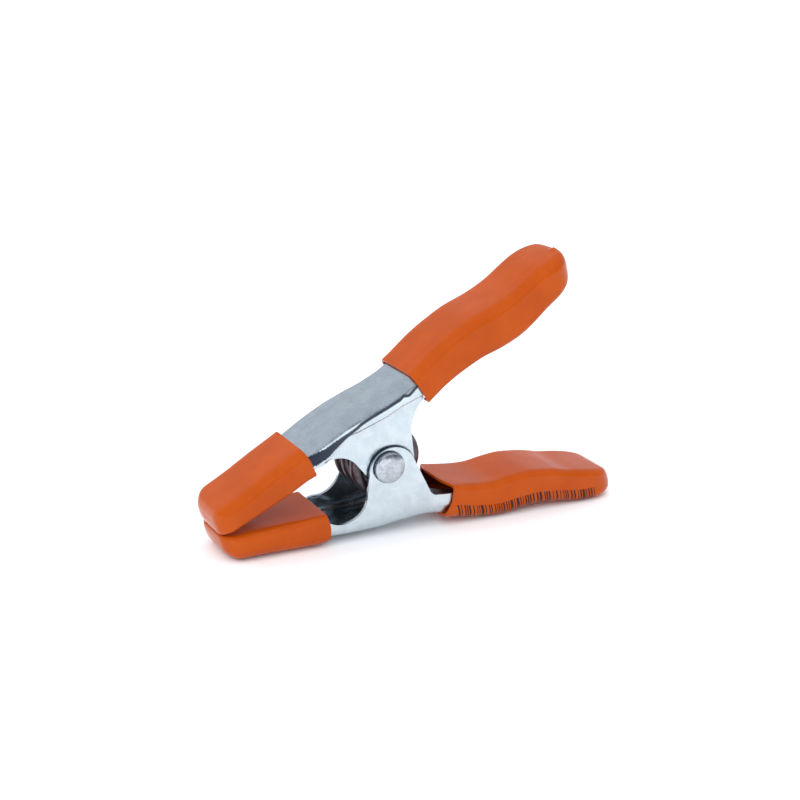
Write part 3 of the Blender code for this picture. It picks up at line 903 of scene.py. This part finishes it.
def make_rivet(material):
    """Shank with a low-crowned head outside each of the outer ears."""
    under = STEEL_WIDTH / 2 + GAP
    head = RIVET_HEAD / 2
    reach = RIVET_LENGTH / 2
    wall = reach - RIVET_CROWN
    crown = [(r, wall + RIVET_CROWN * (1 - (r / head) ** 2))
             for r in spread(0.1, head - RIVET_ROUND, 20)]
    edge = [(head - RIVET_ROUND * (1 - math.sin(t)), wall - RIVET_ROUND * (1 - math.cos(t)) + 0.12)
            for t in spread(0.15, math.pi / 2, 6)]
    foot = [(head, under + RIVET_FOOT), (head - RIVET_FOOT, under), (RIVET_SHANK / 2, under)]
    half = crown + edge + foot
    profile = half + [(r, -y) for r, y in reversed(half)]
    mesh = turned_mesh("rivet_turned", profile, 96, capped=True)
    mesh.flip_normals()
    for vertex in mesh.vertices:
        dent = RIVET_DENTS * noise.noise(vertex.co / RIVET_DENT_SIZE)
        vertex.co.y += dent * (1 if vertex.co.y > 0 else -1)
    finished("rivet_turned", mesh, material, "lower", ["pivot_rivet"])


def make_sleeve(material):
    inner, outer, end = PIVOT_HOLE / 2, SLEEVE_OUTER / 2, SLEEVE_LENGTH / 2
    corner = 0.35
    profile = [(outer, end - corner), (outer - corner, end), (inner + corner, end),
               (inner, end - corner), (inner, corner - end), (inner + corner, -end),
               (outer - corner, -end), (outer, corner - end)]
    mesh = turned_mesh("sleeve_turned", profile, 72)
    finished("sleeve_turned", mesh, material, "lower", ["spacer_sleeve"])


def smooth_clamp(t):
    """Straight rise from -1 to 1 with softened ends."""
    distance = 1.0 - abs(t)
    eased = (distance + math.sqrt(distance ** 2 + COIL_EASE ** 2)) / 2
    return math.copysign(1.0, t) * (1.0 - eased)


def spring_path():
    """Centre line from the end of the lower leg over the coil to the end of the upper leg."""
    radius = (COIL_OUTER - WIRE) / 2
    leave = math.pi / 2 + LEG_SLOPE
    sweep = 2 * math.pi * COIL_TURNS + (2 * math.pi - 2 * leave)
    length = COIL_PITCH * sweep / (2 * math.pi)
    count = round(40 * sweep / (2 * math.pi))
    climb = sweep - 2 * COIL_CLOSED
    coil = []
    for part in spread(0.0, 1.0, count):
        angle = -leave - sweep * part
        rise = smooth_clamp((sweep * part - sweep / 2) / (climb / 2))
        a, b = radius * math.cos(angle), radius * math.sin(angle)
        coil.append(Vector((a + COIL_SHIFT, length / 2 * rise, b)))
    legs = []
    for end, rise in ((coil[0], -1), (coil[-1], 1)):
        direction = Vector((math.cos(LEG_SLOPE), 0.0, rise * math.sin(LEG_SLOPE)))
        legs.append([end + direction * d for d in spread(LEG_LENGTH, 0.0, 24)[:-1]])
    return legs[0] + coil + legs[1][::-1]


def wire_tip(ring, centre, neighbour):
    """Chamfered end of the wire, beyond its last ring."""
    out = (centre - neighbour).normalized()
    return [centre + out * WIRE_CHAMFER + (q - centre) * (1 - 2 * WIRE_CHAMFER / WIRE)
            for q in ring]


def make_spring(material):
    """Wire swept along the path, with chamfered ends."""
    path = spring_path()
    sides = 24
    rings = []
    lengths = arc_lengths(path)
    normal = Vector((0.0, 1.0, 0.0))
    for i, p in enumerate(path):
        tangent = (path[min(i + 1, len(path) - 1)] - path[max(i - 1, 0)]).normalized()
        normal = (normal - tangent * normal.dot(tangent)).normalized()
        binormal = tangent.cross(normal)
        rings.append([p + (normal * math.cos(t) + binormal * math.sin(t)) * WIRE / 2
                      for t in [2 * math.pi * k / sides for k in range(sides)]])
    rings = ([wire_tip(rings[0], path[0], path[1])] + rings
             + [wire_tip(rings[-1], path[-1], path[-2])])
    lengths = [lengths[0] - WIRE_CHAMFER] + lengths + [lengths[-1] + WIRE_CHAMFER]
    points = [tuple(q) for ring in rings for q in ring]
    faces = []
    uvs = []
    for i in range(len(rings) - 1):
        for j in range(sides):
            k = (j + 1) % sides
            faces.append((i * sides + j, i * sides + k, (i + 1) * sides + k, (i + 1) * sides + j))
            for row, step in ((i, j), (i, j + 1), (i + 1, j + 1), (i + 1, j)):
                uvs.append((lengths[row], step * math.pi * WIRE / sides))
    last = len(rings) - 1
    faces.append(tuple(reversed(range(sides))))
    faces.append(tuple(last * sides + j for j in range(sides)))
    uvs += [(lengths[0], 0.0)] * sides + [(lengths[-1], 0.0)] * sides
    mesh = bpy.data.meshes.new("spring_wire")
    mesh.from_pydata(points, [], faces)
    layer = mesh.uv_layers.new(name="surface_mm")
    for loop, uv in enumerate(uvs):
        layer.data[loop].uv = uv
    obj = finished("spring_wire", mesh, material, None, ["torsion_spring"])
    mesh.set_sharp_from_angle(angle=WIRE_SHARP)
    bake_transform(obj)


# ---------------------------------------------------------------- floor, light, camera

FLOOR_REACH = 6.0                   # metres


def make_floor(level):
    mesh = bpy.data.meshes.new("floor")
    corners = ((-1, -1), (1, -1), (1, 1), (-1, 1))
    mesh.from_pydata([(x * FLOOR_REACH, y * FLOOR_REACH, level) for x, y in corners], [],
                     [(0, 1, 2, 3)])
    floor = bpy.data.objects.new("floor", mesh)
    bpy.context.scene.collection.objects.link(floor)
    sh = Shader("floor_paper")
    grain = sh.noise(sh.places, 90.0, 2.0)
    sh.finish(color=sh.blend(grain, rgb(0.93, 0.93, 0.93), rgb(0.95, 0.95, 0.95)), roughness=0.9,
              specular=0.1)
    mesh.materials.append(sh.material)
    floor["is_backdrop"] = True


def make_world():
    """Studio: even grey ceiling, pale sweep behind, darker bluish room in front, low strip."""
    world = bpy.data.worlds.new("studio")
    bpy.context.scene.world = world
    world.use_nodes = True
    world.node_tree.nodes.clear()
    sky = Nodes(world.node_tree)
    x, y, z = sky.separate(sky.node("ShaderNodeTexCoord").outputs["Generated"])
    facing = sky.math("ADD", sky.math("MULTIPLY", x, FACING.x), sky.math("MULTIPLY", y, FACING.y))
    ceiling = sky.math("MULTIPLY", sky.step(z, *CEILING_EDGE), CEILING)
    sweep = sky.math("MULTIPLY", sky.step(facing, *FRONT_EDGE), SWEEP)
    strip = sky.math("MULTIPLY", sky.step(z, *STRIP_LOW), sky.step(z, *STRIP_HIGH))
    strip = sky.math("MULTIPLY", sky.math("MULTIPLY", strip, sky.step(facing, *STRIP_FACING)),
                     STRIP)
    level = sky.math("ADD", sky.math("MAXIMUM", ceiling, sweep), strip)
    tint = sky.node("ShaderNodeCombineXYZ")
    for socket, room in zip(tint.inputs, ROOM):
        sky.link(sky.math("ADD", level, room), socket)
    shade = sky.node("ShaderNodeBackground", {"Color": tint.outputs[0]})
    sky.node("ShaderNodeOutputWorld", {"Surface": shade.outputs[0]})


CAMERA_TURN = -0.450753
CAMERA_RISE = 0.350056
CAMERA_ROLL = math.radians(14.8163) - REST_TILT
CAMERA_DISTANCE = 0.6
LENS = 73.44
SENSOR = 36.0
SHIFT = (0.0333, 0.0698)


def camera_axes():
    """The camera's right, up and back directions, as columns."""
    back = Vector((math.cos(CAMERA_RISE) * math.sin(CAMERA_TURN),
                   -math.cos(CAMERA_RISE) * math.cos(CAMERA_TURN), math.sin(CAMERA_RISE)))
    right = Vector((math.cos(CAMERA_TURN), math.sin(CAMERA_TURN), 0.0))
    return (Matrix.Rotation(CAMERA_ROLL, 3, "Y")
            @ Matrix((right, back.cross(right), back)).transposed())


AXES = camera_axes()
FACING = Vector((AXES.col[2].x, AXES.col[2].y, 0.0)).normalized()   # level, towards the camera

CEILING = 0.62
CEILING_EDGE = (0.22, 0.36)
SWEEP = 0.64
FRONT_EDGE = (0.15, -0.35)
ROOM = (0.035, 0.06, 0.11)          # bluish dark
STRIP = 2.4
STRIP_LOW = (-0.06, -0.02)
STRIP_HIGH = (0.14, 0.07)
STRIP_FACING = (0.35, 0.75)

# Lamps: towards them, strength and angle in degrees
OVERHEAD = ((-0.25, 0.25, 1.0), 2.3, 130.0)
FRONT_FILL = ((-0.35, -0.85, 0.42), 1.3, 60.0)


def make_camera():
    data = bpy.data.cameras.new("camera")
    data.sensor_width = SENSOR
    data.lens = LENS
    data.shift_x, data.shift_y = SHIFT
    camera = bpy.data.objects.new("camera", data)
    bpy.context.scene.collection.objects.link(camera)
    camera.matrix_world = (Matrix.Translation(PIVOT + AXES.col[2] * CAMERA_DISTANCE)
                           @ AXES.to_4x4())
    bpy.context.scene.camera = camera


def make_sun(name, towards, strength, angle):
    """Broad soft light from far away, so that the floor is lit evenly."""
    data = bpy.data.lights.new(name, "SUN")
    data.energy = strength
    data.angle = math.radians(angle)
    light = bpy.data.objects.new(name, data)
    bpy.context.scene.collection.objects.link(light)
    light.visible_glossy = False
    light.rotation_euler = (-Vector(towards)).to_track_quat("-Z", "Y").to_euler()


# ---------------------------------------------------------------- assembly

def main():
    make_lever("lower_lever_sheet", "lower_lever", -1, "lower", zinc_material("lower_zinc", -1))
    make_lever("upper_lever_sheet", "upper_lever", 1, "upper",
               zinc_material("upper_zinc", 1, painted_fold=True))
    make_rivet(rivet_material("rivet_zinc"))
    make_sleeve(spring_material("sleeve_steel"))
    make_spring(spring_material("spring_steel"))
    jaw_corner = TIP_CORNER + GAP + VINYL
    grip_corner = COVER_WIDTH / 2 - 3.0
    make_cover("lower_jaw_vinyl", "lower_jaw_cover", -1, JAW_MOUTH, JAW_FRONT,
               cover_lines(-1, pad_height), jaw_corner, JAW_NOSE, lower_jaw_lip, "lower",
               vinyl_material("lower_jaw_orange"))
    make_cover("upper_jaw_vinyl", "upper_jaw_cover", 1, JAW_MOUTH, JAW_FRONT,
               cover_lines(1, lifted_pad), jaw_corner, JAW_NOSE, upper_jaw_lip, "upper",
               vinyl_material("upper_jaw_orange"))
    make_cover("lower_grip_vinyl", "lower_handle_grip", -1, GRIP_MOUTH, GRIP_END,
               cover_lines(-1, below_spine(LOWER_GRIP, -1)), grip_corner, LOWER_GRIP_NOSE,
               lower_grip_lip, "lower", vinyl_material("lower_grip_orange", bars=True))
    make_cover("upper_grip_vinyl", "upper_handle_grip", 1, GRIP_MOUTH, GRIP_END,
               cover_lines(1, below_spine(UPPER_GRIP, 1)), grip_corner, GRIP_NOSE, straight_lip,
               "upper", vinyl_material("upper_grip_orange"), bumps=(NUB,))
    make_floor(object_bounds()[0][2])
    make_world()
    make_sun("overhead", *OVERHEAD)
    make_sun("front_fill", *FRONT_FILL)
    make_camera()
    bpy.context.scene.view_settings.view_transform = "Standard"


main()
